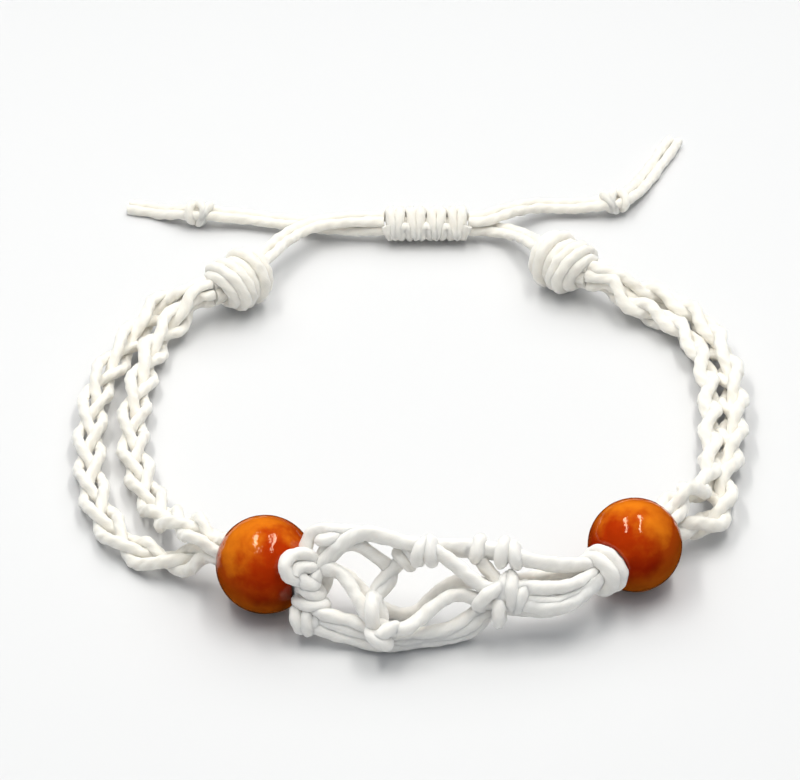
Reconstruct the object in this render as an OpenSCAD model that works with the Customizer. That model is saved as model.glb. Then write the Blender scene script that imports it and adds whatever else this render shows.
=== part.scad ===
// Macrame bracelet that holds a loose stone: a knotted net pouch between two
// wooden beads, two three-strand braids on each side, a gathering knot where
// each pair of braids ends, and a sliding knot of square knots behind.
// Millimetres. The origin is the middle of the wrist hollow, on the surface
// that the bracelet lies on; -Y is the front with the net, +X is to the right.

/* [Cord] */
// Diameter of the waxed cotton cord
cord_d = 1.2; // [1:0.05:1.25]
// Sides of a cord's section
cord_sides = 6; // [6:1:8]

/* [Beads] */
// Diameter of the bead to the left of the net
left_bead_d = 10.3; // [10:0.1:10.6]
// Diameter of the bead to the right of the net
right_bead_d = 9.9; // [9.6:0.1:10.2]
// Bore of both beads
bore_d = 4.1; // [4:0.1:5]

/* [Braids] */
// Length of braid in which a strand comes back to its place
braid_pitch = 17; // [15:0.5:20]
// Sideways swing of a strand from the middle of its braid
braid_swing = 1.52; // [1.4:0.02:1.56]
// Swing of a strand over and under its neighbours
braid_lift = 0.96; // [0.9:0.02:1]
// Length over which the strands gather into a bundle at each end
gather_len = 6; // [5.5:0.5:6.5]

/* [Knots] */
// Radius of the three fat turns of a gathering knot
gather_turn_r = 2.3; // [2.1:0.1:2.4]
// Thickness of those turns, from their middle
gather_cord_r = 1.25; // [1.1:0.05:1.35]
// Radius of the two turns of a net knot
net_turn_r = 0.95; // [0.8:0.05:1]
// Number of square knots in the sliding knot
square_knots = 4; // [3:1:5]

/* [Hidden] */
cord_r = cord_d / 2;
// Six cords side by side round a bundle's middle
bundle_r = cord_d * 1.07;
// Gap between pieces that meet
gap = 0.15;
ring_step = 2.1;
net_step = 2.4;
net_sides = 5;
// Sides and ring spacing of the plain cords behind and of the free ends
plain_sides = 8;
plain_step = 2.8;

// Middle of each bead, and the way its bore points, from the net to the braids
left_bead_at = [-15.7, -29.2, left_bead_d / 2];
right_bead_at = [22.9, -25.7, right_bead_d / 2];
left_bore_way = [-cos(28), sin(28), 0];
right_bore_way = [cos(50), sin(50), 0];

// Places of the two braids' cords in the bundle of six, as angles round it
outer_slots = [210, 270, 330];
inner_slots = [150, 90, 30];

// Middle of each gathering knot, the way the braids run into it and the way the
// strap leaves it
left_knot_at = [-20.6, 25.2, 3.8];
right_knot_at = [17.6, 28.8, 3.8];
left_knot_in = [cos(32), sin(32), 0];
right_knot_in = [-cos(35), sin(35), 0];
left_knot_out = [cos(60), sin(60), 0];
right_knot_out = [-cos(55), sin(55), 0];
knot_half = 3.9;
knot_plate = 1.2;
turn_step = 1.9;

// Routes of the braids' middles on the surface, bead to knot.
// Columns: x, y, z, roll of the braid's flat side
left_outer_route = [
    [-22.6, -25.8, 3.4, 0], [-25.8, -24.6, 1.9, 0], [-29.8, -22.4, 1.6, 0], [-33.0, -18.0, 1.6, 0],
    [-35.0, -12.0, 1.6, 0], [-35.9, -5.5, 1.6, 0], [-36.1, 1.0, 1.7, -10], [-35.6, 7.0, 2.0, -30],
    [-33.6, 12.8, 2.15, -50], [-31.6, 18.0, 2.2, -70], [-29.0, 21.7, 2.8, -80]];
left_inner_route = [
    [-22.8, -24.8, 6.2, 0], [-25.4, -21.2, 4.4, 0], [-27.6, -16.6, 2.3, 0], [-29.6, -11.0, 1.7, 0],
    [-31.0, -5.0, 1.6, 0], [-31.4, 1.0, 1.85, -20], [-31.0, 7.0, 2.1, -40], [-30.2, 12.4, 2.15, -60],
    [-29.0, 16.6, 2.2, -70], [-27.3, 19.2, 2.8, -80]];
right_outer_route = [
    [28.2, -20.6, 3.4, 20], [31.2, -18.4, 2.1, 40], [34.4, -14.0, 2.1, 60], [35.7, -8.0, 2.1, 80],
    [36.1, -2.0, 2.1, 80], [36.2, 4.0, 2.1, 84], [36.2, 9.7, 2.1, 94], [35.4, 14.6, 2.1, 105],
    [33.9, 18.5, 2.1, 115], [31.9, 21.6, 2.1, 120], [29.4, 24.0, 2.1, 119], [26.8, 25.4, 2.7, 113]];
right_inner_route = [
    [28.0, -18.6, 6.0, 20], [30.0, -15.4, 4.2, 35], [31.9, -10.8, 2.5, 60], [32.7, -5.0, 2.1, 80],
    [33.0, 1.0, 2.1, 80], [33.0, 6.5, 2.1, 88], [32.4, 11.2, 2.1, 98], [31.2, 15.0, 2.1, 108],
    [29.5, 18.0, 2.1, 116], [27.4, 20.3, 2.1, 117], [25.0, 22.0, 2.9, 110]];

// The sliding knot lies along +X between its two ends, its cords in two layers
slide_from = -3.5;
slide_to = 6.4;
slide_y = 39.7;
slide_z = 2.3;
slide_half = 1.15;
slide_turn_r = 1.45;
layer = 0.62;

// Routes of the straps from the gathering knots to the sliding knot, middle of
// their two cords. Columns: x, y, z
left_strap_route = [
    [-18.6, 28.7, 3.8], [-17.4, 31.0, 3.7], [-16.0, 33.8, 3.5], [-14.2, 36.5, 3.2],
    [-11.6, 38.6, 3.0], [-8.0, 39.6, 2.92], [-3.65, 39.7, 2.92]];
right_strap_route = [
    [15.3, 32.1, 3.8], [14.3, 33.5, 3.7], [13.2, 36.0, 2.9], [11.6, 38.2, 2.0],
    [9.4, 39.5, 1.66], [7.6, 39.7, 1.68], [6.55, 39.7, 1.68]];
// Routes of the free ends past the sliding knot, down to the surface and along it
// to their very tips
left_tail_route = [
    [-3.65, 39.7, 1.68], [-5.0, 39.7, 1.66], [-8.4, 40.0, 1.5], [-12.0, 40.8, 1.35], [-16.2, 41.7, 1.3],
    [-21.1, 42.7, 1.4], [-25.0, 42.8, 1.75], [-26.9, 43.0, 1.75], [-29.0, 43.8, 1.3], [-30.7, 44.7, 0.75],
    [-32.9, 45.5, 0.62], [-34.9, 46.0, 0.62]];
right_tail_route = [
    [6.65, 39.7, 2.92], [8.5, 39.8, 2.95], [10.6, 41.1, 3.0], [12.9, 43.0, 2.4], [15.7, 44.8, 1.6],
    [19.4, 45.1, 1.3], [23.0, 45.1, 1.75], [24.8, 45.6, 1.75], [26.7, 47.9, 1.3], [28.4, 51.5, 0.75],
    [30.1, 55.2, 0.62], [31.5, 58.4, 0.62], [32.8, 61.2, 0.62]];
left_end_at = [-26.0, 42.9, 1.75];
right_end_at = [24.4, 45.4, 1.75];
left_end_way = [-1, 0.1, 0];
right_end_way = [1, 0.3, 0];
end_turn_r = 0.95;
// Play of the cords in the knots on the free ends
end_play = 0.08;

// Cords of the net, from the left bead to the right one. Columns: x, y, z
net_top_front = [
    [-9.8, -32.3, 5.6], [-9.6, -32.2, 7.4], [-7.6, -31.3, 9.8], [-5.6, -30.9, 10.5], [-3.2, -31.3, 10.7],
    [-1.0, -32.1, 10.3], [1.0, -32.7, 9.6], [3.0, -33.0, 9.0], [5.2, -34.0, 7.9], [7.4, -34.9, 6.6],
    [10.0, -35.0, 6.2], [12.7, -34.6, 6.0], [15.2, -33.5, 5.9], [17.4, -31.8, 5.5], [19.0, -30.4, 5.2]];
net_top_back = [
    [-9.8, -32.0, 5.4], [-10.2, -30.3, 8.8], [-8.2, -29.5, 10.2], [-5.4, -29.7, 10.9], [-2.5, -30.6, 10.9],
    [0.6, -31.8, 10.4], [3.2, -31.8, 10.2], [6.0, -31.3, 10.0], [8.6, -31.3, 9.4], [11.4, -31.7, 8.4],
    [14.0, -31.9, 7.4], [16.6, -31.4, 6.6], [19.0, -30.2, 5.4]];
net_front = [
    [-9.8, -32.6, 5.2], [-9.6, -33.2, 6.2], [-7.6, -33.6, 6.2], [-6.2, -34.9, 5.4], [-4.9, -36.4, 4.6],
    [-3.4, -37.2, 3.9], [-1.0, -37.0, 3.9], [1.2, -36.2, 4.4], [3.4, -35.2, 5.2], [5.8, -34.8, 5.5],
    [8.2, -34.8, 4.8], [10.6, -34.9, 4.2], [13.2, -34.6, 3.9], [15.6, -33.6, 4.0], [17.8, -32.0, 4.4],
    [19.0, -30.6, 4.8]];
net_low_front = [
    [-9.8, -32.6, 4.8], [-9.8, -34.4, 3.4], [-7.6, -35.9, 3.0], [-5.0, -37.0, 2.7], [-2.0, -37.4, 2.0],
    [1.2, -37.4, 1.6], [4.2, -37.0, 1.8], [6.8, -35.9, 2.6], [9.0, -35.0, 3.0], [11.4, -34.9, 2.6],
    [14.0, -34.6, 2.6], [16.2, -33.4, 3.2], [18.2, -31.8, 4.0], [19.0, -30.6, 4.6]];
net_bottom = [
    [-9.9, -32.2, 4.6], [-10.4, -34.2, 1.9], [-8.2, -36.0, 1.1], [-5.8, -36.9, 0.8], [-3.0, -36.6, 0.8],
    [0.0, -35.2, 0.8], [3.2, -33.6, 0.8], [6.4, -32.8, 1.0], [9.4, -33.2, 1.6], [12.4, -32.6, 2.2],
    [15.6, -31.6, 3.0], [19.0, -30.2, 4.6]];
net_far = [
    [-9.8, -32.0, 5.0], [-9.4, -29.6, 7.2], [-7.2, -28.9, 7.4], [-5.0, -28.7, 5.9], [-3.2, -28.6, 4.6],
    [-1.0, -28.2, 4.2], [1.6, -27.6, 5.0], [4.6, -27.4, 6.2], [7.4, -28.4, 7.8], [9.4, -30.4, 8.6]];
net_low_far = [
    [-9.8, -31.8, 4.6], [-9.4, -29.4, 3.8], [-7.0, -28.9, 3.6], [-4.4, -28.4, 3.8], [-1.8, -28.0, 3.6],
    [1.2, -27.6, 2.8], [4.6, -27.2, 2.6], [8.0, -27.4, 3.2], [11.2, -28.2, 4.0], [14.4, -29.2, 4.4],
    [17.4, -29.8, 4.8], [19.0, -30.0, 5.0]];
net_cross = [
    [1.0, -32.0, 9.2], [-0.2, -30.4, 7.2], [-1.2, -29.0, 5.0], [-2.4, -29.2, 3.0], [-3.6, -31.2, 1.8],
    [-4.2, -34.0, 1.4], [-4.4, -36.4, 2.6]];

// Knots of the net. Columns: x, y, z of the middle, way of the cords, length
net_knots = [
    [[1.2, -32.5, 9.8], [1, -0.2, -0.2], 1.4],
    [[-4.4, -37.0, 3.6], [0.3, -0.2, -1], 2.0],
    [[-7.1, -29.0, 3.7], [1, 0.2, 0.1], 0.9],
    [[-1.6, -28.4, 4.1], [1, 0.3, 0.4], 1.4],
    [[8.0, -35.0, 5.4], [0.5, 0, -1], 2.0],
    [[9.4, -34.9, 3.2], [1, 0, -0.3], 1.2],
    [[9.6, -31.5, 9.1], [1, -0.1, -0.4], 1.2],
    [[-12.1, -34.1, 8.3], [1, -0.4, -0.6], 1.4],
    [[-10.8, -34.2, 5.6], [0.4, -0.2, -1], 0.9],
    [[-10.8, -34.4, 3.8], [0.6, -0.4, -0.6], 0.8],
    [[-11.0, -34.6, 1.8], [1, -0.8, 0], 0.5],
    [[-9.9, -30.4, 9.1], [0.4, 0.3, 1], 0.9],
    [[-8.8, -29.2, 5.4], [0.4, 1, 0.3], 0.9]];

function unit(v) = v / norm(v);
function ease(t) = let(u = max(0, min(1, t))) u * u * (3 - 2 * u);
function side_of(way) = unit(cross(way, [0, 0, 1]));

// Smooth curve through a route's rows, n steps from row to row
function spline(rows, n = 6) = concat(
    [for (i = [0:len(rows) - 2], k = [0:n - 1])
        let(a = rows[max(i - 1, 0)], b = rows[i], c = rows[i + 1],
            d = rows[min(i + 2, len(rows) - 1)], t = k / n)
        0.5 * (2 * b + (c - a) * t + (2 * a - 5 * b + 4 * c - d) * t * t
            + (3 * b - a - 3 * c + d) * t * t * t)],
    [rows[len(rows) - 1]]);
function place(row) = [row[0], row[1], row[2]];
// Length of a curve up to each of its points
function run(p) = [for (i = 0, s = 0; i < len(p); i = i + 1,
    s = s + (i < len(p) ? norm(place(p[i]) - place(p[i - 1])) : 0)) s];
// Row of a curve at the length s, from its points and their lengths
function row_at(p, len_at, s) = [for (c = [0:len(p[0]) - 1])
    lookup(s, [for (i = [0:len(p) - 1]) [len_at[i], p[i][c]]])];
// The same curve with evenly spaced points about step apart
function even(p, step) = let(l = run(p), total = l[len(l) - 1], n = ceil(total / step))
    [for (i = [0:n]) row_at(p, l, total * i / n)];

// Directions of a tube at each point of its path: along, and two across it
function frames(p) = let(
    n = len(p),
    way = [for (i = [0:n - 1]) unit(p[min(i + 1, n - 1)] - p[max(i - 1, 0)])],
    up = abs(way[0][2]) < 0.8 ? [0, 0, 1] : [0, 1, 0])
    [for (i = 0, u = unit(cross(way[0], up)); i < n; i = i + 1,
        u = i < n ? unit(u - way[i] * (u * way[i])) : u) [way[i], u, cross(way[i], u)]];

// Round tube along a path, with flat ends
module tube(path, r = cord_r, sides = cord_sides) {
    f = frames(path);
    n = len(path);
    points = [for (i = [0:n - 1], k = [0:sides - 1])
        path[i] + r * (cos(360 * k / sides) * f[i][1] + sin(360 * k / sides) * f[i][2])];
    walls = [for (i = [0:n - 2], k = [0:sides - 1])
        let(a = i * sides + k, b = i * sides + (k + 1) % sides)
        each [[a, a + sides, b], [b, a + sides, b + sides]]];
    ends = [[for (k = [0:sides - 1]) k], [for (k = [sides - 1:-1:0]) (n - 1) * sides + k]];
    polyhedron(points, concat(walls, ends));
}

// One turn of cord round the way that it is tied across
module turn(at, way, radius, r = cord_r, steps = 10, sides = cord_sides) {
    u = unit(cross(way, abs(way[2]) < 0.8 * norm(way) ? [0, 0, 1] : [0, 1, 0]));
    v = cross(unit(way), u);
    points = [for (i = [0:steps - 1], k = [0:sides - 1])
        let(out = cos(360 * i / steps) * u + sin(360 * i / steps) * v)
        at + out * (radius + r * cos(360 * k / sides)) + unit(way) * r * sin(360 * k / sides)];
    walls = [for (i = [0:steps - 1], k = [0:sides - 1])
        let(a = i * sides + k, b = i * sides + (k + 1) % sides,
            c = ((i + 1) % steps) * sides + k, d = ((i + 1) % steps) * sides + (k + 1) % sides)
        each [[a, b, c], [b, d, c]]];
    polyhedron(points, walls);
}

// Path of one of the six cords of a side, from the net's end through the bead
// and its braid to the gathering knot. slots are the places of the braid's three
// cords in the bundle, and k is the cord's number.
function strand_path(route, bead_at, bead_d, bore_way, knot_at, knot_in, slots, k) = let(
    head = [for (s = [-bead_d / 2 - gap, -2.5, 0, 2.5, bead_d / 2 + 0.6])
        concat(bead_at + s * bore_way, [0])],
    tail = [for (s = [2, 0]) concat(knot_at - (knot_half + s) * knot_in, [route[len(route) - 1][3]])],
    p = even(spline(concat(head, route, tail)), 0.8),
    len_at = run(p),
    total = len_at[len(p) - 1],
    n = ceil(total / ring_step),
    // The weave runs over whole thirds of a turn, so each strand ends in the place
    // of itself or of a neighbour
    first = bead_d + 1.5 + 0.6 * gather_len,
    last = total - 1 - 0.9 * gather_len,
    thirds = round(3 * (last - first) / braid_pitch))
    [for (i = [0:n])
        let(s = total * i / n,
            row = row_at(p, len_at, s),
            way = unit(place(row_at(p, len_at, min(s + 0.5, total)))
                - place(row_at(p, len_at, max(s - 0.5, 0)))),
            flat = side_of(way), up = cross(flat, way),
            swing = cos(row[3]) * flat + sin(row[3]) * up,
            lift = cos(row[3]) * up - sin(row[3]) * flat,
            phase = 120 * thirds * max(0, min(1, (s - first) / (last - first))) - 120 + 120 * k,
            braided = ease(min((s - bead_d - 1.5) / gather_len, (total - 1 - s) / gather_len)),
            slot = slots[s < total / 2 ? k : (k + thirds) % 3],
            spot = bundle_r * (cos(slot) * swing + sin(slot) * lift),
            woven = braid_swing * sin(phase) * swing + braid_lift * sin(2 * phase) * lift)
        place(row) + (1 - braided) * spot + braided * woven];

// In a braid the strands press on each other and are a little thinner
module strand(path) color("ivory") tube(path, 0.92 * cord_r);

module left_outer_strand(k) strand(strand_path(left_outer_route, left_bead_at, left_bead_d,
    left_bore_way, left_knot_at, left_knot_in, outer_slots, k));
module left_inner_strand(k) strand(strand_path(left_inner_route, left_bead_at, left_bead_d,
    left_bore_way, left_knot_at, left_knot_in, inner_slots, k));
module right_outer_strand(k) strand(strand_path(right_outer_route, right_bead_at, right_bead_d,
    right_bore_way, right_knot_at, right_knot_in, outer_slots, k));
module right_inner_strand(k) strand(strand_path(right_inner_route, right_bead_at, right_bead_d,
    right_bore_way, right_knot_at, right_knot_in, inner_slots, k));

// A bead is a ball drilled through for its six cords
module bead(at, d, way) color("chocolate")
    translate(at) rotate([0, 0, atan2(way[1], way[0])]) rotate([0, 90, 0])
        difference() {
            sphere(d = d, $fn = 48);
            cylinder(d = bore_d, h = d + 2, center = true, $fn = 32);
        }
module left_bead() bead(left_bead_at, left_bead_d, left_bore_way);
module right_bead() bead(right_bead_at, right_bead_d, right_bore_way);

// A knot of the net is a short core with two turns of cord round it
module net_knot(at, way, length) {
    along = unit(way) * length / 2;
    hull() {
        translate(at - along) sphere(1, $fn = 6);
        translate(at + along) sphere(1, $fn = 6);
    }
    turn(at - 0.6 * along, way, net_turn_r, cord_r, 7, 5);
    turn(at + 0.8 * along, way + [0, 0.3, 0.3], net_turn_r, cord_r, 7, 5);
}

// A collar of the net is a turn of cord against the bead, round its gathered cords
module net_collar(bead_at, bead_d, way) {
    base = bead_at - way * (bead_d / 2);
    turn(base - way * 0.95, way, 1.6, 1.1 * cord_r, 10, 5);
    hull() {
        translate(base - way * 1.25) sphere(1, $fn = 6);
        translate(base - way * 2) sphere(1.2, $fn = 6);
    }
}
// The net is one run of knotted cord, open between its cords
module crystal_net() color("ivory") {
    for (route = [net_top_front, net_top_back, net_front, net_low_front, net_bottom,
            net_far, net_low_far, net_cross])
        tube(even(spline(route), net_step), cord_r, net_sides);
    for (k = net_knots) net_knot(k[0], k[1], k[2]);
    net_collar(left_bead_at, left_bead_d, left_bore_way);
    net_collar(right_bead_at, right_bead_d, right_bore_way);
}

// A gathering knot is three fat turns round the cords that it ties
module gathering_knot(at, in, out) color("ivory") {
    mean = unit(in + out);
    for (k = [-1:1])
        turn(at + turn_step * k * mean, mean + [0, 0, 0.25 * k], gather_turn_r, gather_cord_r, 12, 8);
    knot_neck(at, -in, 1.9);
    knot_neck(at, out, 1.5);
}
// Neck of a gathering knot round the cords that enter or leave it, with a flat end
module knot_neck(at, way, r) hull() {
    for (s = [0, knot_half - gap - knot_plate / 2]) translate(at + s * way) flat_end(way, r);
}
// Thin round plate across a way
module flat_end(way, r) rotate([0, 0, atan2(way[1], way[0])]) rotate([0, 90, 0])
    cylinder(r = r, h = knot_plate, center = true, $fn = 12);
module left_gathering_knot() gathering_knot(left_knot_at, left_knot_in, left_knot_out);
module right_gathering_knot() gathering_knot(right_knot_at, right_knot_in, right_knot_out);

// One of two cords that run side by side along a route
function beside(route, side, step = plain_step) = let(p = even(spline(route), step), n = len(p))
    [for (i = [0:n - 1]) let(way = p[min(i + 1, n - 1)] - p[max(i - 1, 0)])
        p[i] + side * layer * unit(cross(way, [0, 0, 1]))];
module plain_cord(path) color("ivory") tube(path, cord_r, plain_sides);
module left_strap(k) plain_cord(beside(left_strap_route, k));
module right_strap(k) plain_cord(beside(right_strap_route, k));
module left_tail(k) plain_cord(beside(left_tail_route, k));
module right_tail(k) plain_cord(beside(right_tail_route, k));

// The sliding knot: square knots in a row round the cords that it closes
module sliding_knot() color("ivory") {
    length = slide_to - slide_from;
    pitch = length / square_knots;
    translate([slide_from, slide_y, slide_z]) rotate([0, 90, 0])
        linear_extrude(length) offset(0.5) square(2 * slide_half - 1, center = true);
    for (k = [0:square_knots - 1])
        turn([slide_from + pitch * (k + 0.5), slide_y, slide_z], [1, 0, 0.25], slide_turn_r, 1.2 * cord_r,
            10, 6);
}

// The knot on a pair of free ends is drilled for its two cords
module end_knot(at, way, route) color("ivory") difference() {
    union() {
        hull() for (s = [-1, 1]) translate(at + 0.7 * s * unit(way)) sphere(1.3, $fn = 7);
        for (s = [-1, 1])
            turn(at + 0.65 * s * unit(way), way + [0, 0.2 * s, 0.2], end_turn_r, 1.2 * cord_r, 8, 5);
    }
    for (s = [-1, 1]) tube(beside(route, s), cord_r + end_play, plain_sides);
}
module left_end_knot() end_knot(left_end_at, left_end_way, left_tail_route);
module right_end_knot() end_knot(right_end_at, right_end_way, right_tail_route);

left_bead();
right_bead();
crystal_net();
left_outer_strand(0);  // left_outer_strand_1
left_outer_strand(1);  // left_outer_strand_2
left_outer_strand(2);  // left_outer_strand_3
left_inner_strand(0);  // left_inner_strand_1
left_inner_strand(1);  // left_inner_strand_2
left_inner_strand(2);  // left_inner_strand_3
right_outer_strand(0);  // right_outer_strand_1
right_outer_strand(1);  // right_outer_strand_2
right_outer_strand(2);  // right_outer_strand_3
right_inner_strand(0);  // right_inner_strand_1
right_inner_strand(1);  // right_inner_strand_2
right_inner_strand(2);  // right_inner_strand_3
left_gathering_knot();
right_gathering_knot();
left_strap(1);  // left_strap_1
left_strap(-1);  // left_strap_2
right_strap(1);  // right_strap_1
right_strap(-1);  // right_strap_2
sliding_knot();
left_tail(1);  // left_tail_1
left_tail(-1);  // left_tail_2
right_tail(1);  // right_tail_1
right_tail(-1);  // right_tail_2
left_end_knot();
right_end_knot();
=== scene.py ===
"""Looks of a macrame bracelet with a knotted net for a loose stone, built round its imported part."""
import math

import bpy
from mathutils import Euler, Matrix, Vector


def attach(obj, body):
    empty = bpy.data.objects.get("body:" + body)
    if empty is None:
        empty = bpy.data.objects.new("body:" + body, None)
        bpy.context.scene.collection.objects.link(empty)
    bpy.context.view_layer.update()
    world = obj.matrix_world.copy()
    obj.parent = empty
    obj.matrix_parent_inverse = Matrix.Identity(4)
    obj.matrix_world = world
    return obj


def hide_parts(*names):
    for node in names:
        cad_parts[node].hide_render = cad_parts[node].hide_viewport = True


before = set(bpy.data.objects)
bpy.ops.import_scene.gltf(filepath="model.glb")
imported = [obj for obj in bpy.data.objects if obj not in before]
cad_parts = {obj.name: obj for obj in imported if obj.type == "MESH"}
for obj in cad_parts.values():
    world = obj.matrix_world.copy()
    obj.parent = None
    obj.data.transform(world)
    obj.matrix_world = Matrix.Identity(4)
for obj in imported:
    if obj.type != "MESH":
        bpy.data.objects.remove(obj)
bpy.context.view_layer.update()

# Camera. It looks down on the net from in front with a long lens, which keeps the beads round.
mm = 0.001
aim = Vector((-1.7, 8.7, 0.0)) * mm
camera_tilt = math.radians(36)
camera_away = 390 * mm
camera_data = bpy.data.cameras.new("camera")
camera_data.sensor_fit = "HORIZONTAL"
camera_data.sensor_width = 36.0
camera_data.lens = 154.35
camera_data.clip_start = 0.01
camera = bpy.data.objects.new("camera", camera_data)
camera.location = aim + camera_away * Vector((0, -math.cos(camera_tilt), math.sin(camera_tilt)))
camera.rotation_euler = Euler((math.pi / 2 - camera_tilt, 0, 0))
bpy.context.scene.collection.objects.link(camera)
bpy.context.scene.camera = camera

# Floor and light of a small light box. White paper fills the picture. Two strip lights under the roof
# make the two short streaks on each bead. A large soft window behind, a faint one in front and white
# walls light the rest, and like the paper they aren't mirrored in the lacquer.
floor_half = 1.5
floor_colour = (0.685, 0.685, 0.69, 1.0)
strip_places = [(-113 * mm, -4.5 * mm), (80 * mm, -4.5 * mm)]
strip_height = 330 * mm
strip_size = (38 * mm, 270 * mm)
strip_power = 0.47
strip_colour = (1.0, 0.98, 0.93)
window_height = 600 * mm
window_size = (1000 * mm, 620 * mm)
window_colour = (1.0, 0.98, 0.94)
window_tip = math.radians(35)
# Each window's place from front to back, how it is tipped towards the bracelet, and its power.
windows = [(430 * mm, -window_tip, 3.5), (-430 * mm, window_tip, 0.15)]
wall_colour = (0.85, 0.92, 1.0, 1.0)
wall_strength = 0.43

floor_mesh = bpy.data.meshes.new("floor")
floor_mesh.from_pydata([(-floor_half, -floor_half, 0), (floor_half, -floor_half, 0),
                        (floor_half, floor_half, 0), (-floor_half, floor_half, 0)], [], [(0, 1, 2, 3)])
floor = bpy.data.objects.new("floor", floor_mesh)
bpy.context.scene.collection.objects.link(floor)
floor.visible_glossy = False


def surface(name, **sockets):
    """A material with these constants on the sockets of its Principled shader, and that shader."""
    made = bpy.data.materials.new(name)
    made.use_nodes = True
    shader = made.node_tree.nodes["Principled BSDF"]
    for socket, value in sockets.items():
        shader.inputs[socket.replace("_", " ")].default_value = value
    return made, shader


paper = surface("white_paper", Base_Color=floor_colour, Roughness=0.8, Specular_IOR_Level=0.15)[0]
floor_mesh.materials.append(paper)

bpy.context.scene.view_settings.view_transform = "Standard"
world = bpy.data.worlds.new("light_box")
world.use_nodes = True
walls = world.node_tree.nodes["Background"]
walls.inputs["Color"].default_value = wall_colour
walls.inputs["Strength"].default_value = wall_strength
world.cycles_visibility.glossy = False
bpy.context.scene.world = world


def panel(name, place, size, power, colour, tip=0.0, mirrored=True):
    """A flat lamp that faces down, tipped to the front or the back, and mirrored in the lacquer or not."""
    light = bpy.data.lights.new(name, "AREA")
    light.shape = "RECTANGLE"
    light.size, light.size_y = size
    light.energy = power
    light.color = colour
    lamp = bpy.data.objects.new(name, light)
    lamp.location = place
    lamp.rotation_euler = Euler((tip, 0, 0))
    lamp.visible_glossy = mirrored
    bpy.context.scene.collection.objects.link(lamp)


for number, (x, y) in enumerate(strip_places):
    panel(f"strip_{number + 1}", (x, y, strip_height), strip_size, strip_power, strip_colour)
for number, (y, tip, power) in enumerate(windows):
    panel(f"window_{number + 1}", (0, y, window_height), window_size, power, window_colour, tip, False)

# Free ends. Past the sliding knot each pair of plain cords lies loose on the surface, with an overhand
# knot tied in it, and is cut off bare. Like all the bracelet's cord they are waxed cotton of three
# soft plies, about 1.2 mm thick. Sizes and places of all the cords are in millimetres.
cord_thick = 1.2
cord_layer = 0.62
cord_softness = 0.2
ply_count = 3
ply_pitch = 5.5
cotton_colour = (0.92, 0.882, 0.8)
left_tail_route = [
    (-3.65, 39.7, 1.68), (-5.0, 39.7, 1.66), (-8.4, 40.0, 1.5), (-12.0, 40.8, 1.35), (-16.2, 41.7, 1.3),
    (-21.1, 42.7, 1.4), (-25.0, 42.8, 1.75), (-26.9, 43.0, 1.75), (-29.0, 43.8, 1.3), (-30.7, 44.7, 0.75),
    (-32.9, 45.5, 0.62), (-34.9, 46.0, 0.62)]
right_tail_route = [
    (6.65, 39.7, 2.92), (8.5, 39.8, 2.95), (10.6, 41.1, 3.0), (12.9, 43.0, 2.4), (15.7, 44.8, 1.6),
    (19.4, 45.1, 1.3), (23.0, 45.1, 1.75), (24.8, 45.6, 1.75), (26.7, 47.9, 1.3), (28.4, 51.5, 0.75),
    (30.1, 55.2, 0.62), (31.5, 58.4, 0.62), (32.8, 61.2, 0.62)]
# Each pair's route, and where its overhand knot sits and which way the cords run through it.
tails = {"left_tail": (left_tail_route, (-26.0, 42.9, 1.75), (-1, 0.1, 0)),
         "right_tail": (right_tail_route, (24.4, 45.4, 1.75), (1, 0.3, 0))}
# An overhand knot's turns: how far along the cords, how far out, and how they lean.
overhand_turns = [(-0.75, 1.05, (0, 0.25, 0.3)), (0.1, 1.2, (0, -0.5, 0.35)), (0.9, 1.0, (0, 0.2, -0.3))]
overhand_squeeze = 0.85
overhand_cord = (1.2, 0.95)
upwards = Vector((0, 0, 1))


def spline(rows, steps=8):
    """Smooth curve through a route's rows, in the route's own columns."""
    line = []
    for i in range(len(rows) - 1):
        a, b, c, d = (rows[min(max(j, 0), len(rows) - 1)] for j in (i - 1, i, i + 1, i + 2))
        for t in (k / steps for k in range(steps)):
            line.append([0.5 * (2 * q + (r - p) * t + (2 * p - 5 * q + 4 * r - s) * t * t
                                + (3 * q - p - 3 * r + s) * t ** 3) for p, q, r, s in zip(a, b, c, d)])
    return line + [list(rows[-1])]


def even(line, step=0.4):
    """The same curve with evenly spaced points about a step apart."""
    run = [0.0]
    for a, b in zip(line, line[1:]):
        run.append(run[-1] + (Vector(b[:3]) - Vector(a[:3])).length)
    count = math.ceil(run[-1] / step)
    points, i = [], 0
    for k in range(count + 1):
        s = run[-1] * k / count
        while i < len(run) - 2 and run[i + 1] < s:
            i += 1
        t = (s - run[i]) / max(run[i + 1] - run[i], 1e-9)
        points.append([p + (q - p) * t for p, q in zip(line[i], line[i + 1])])
    return points


def beside(route, side, step=0.5):
    """One of two cords that run side by side along a route, a layer of cord off its middle."""
    line = [Vector(p) for p in even(spline(route), step)]
    ways = [line[min(i + 1, len(line) - 1)] - line[max(i - 1, 0)] for i in range(len(line))]
    return [p + side * cord_layer * way.cross(upwards).normalized() for p, way in zip(line, ways)]


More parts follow.
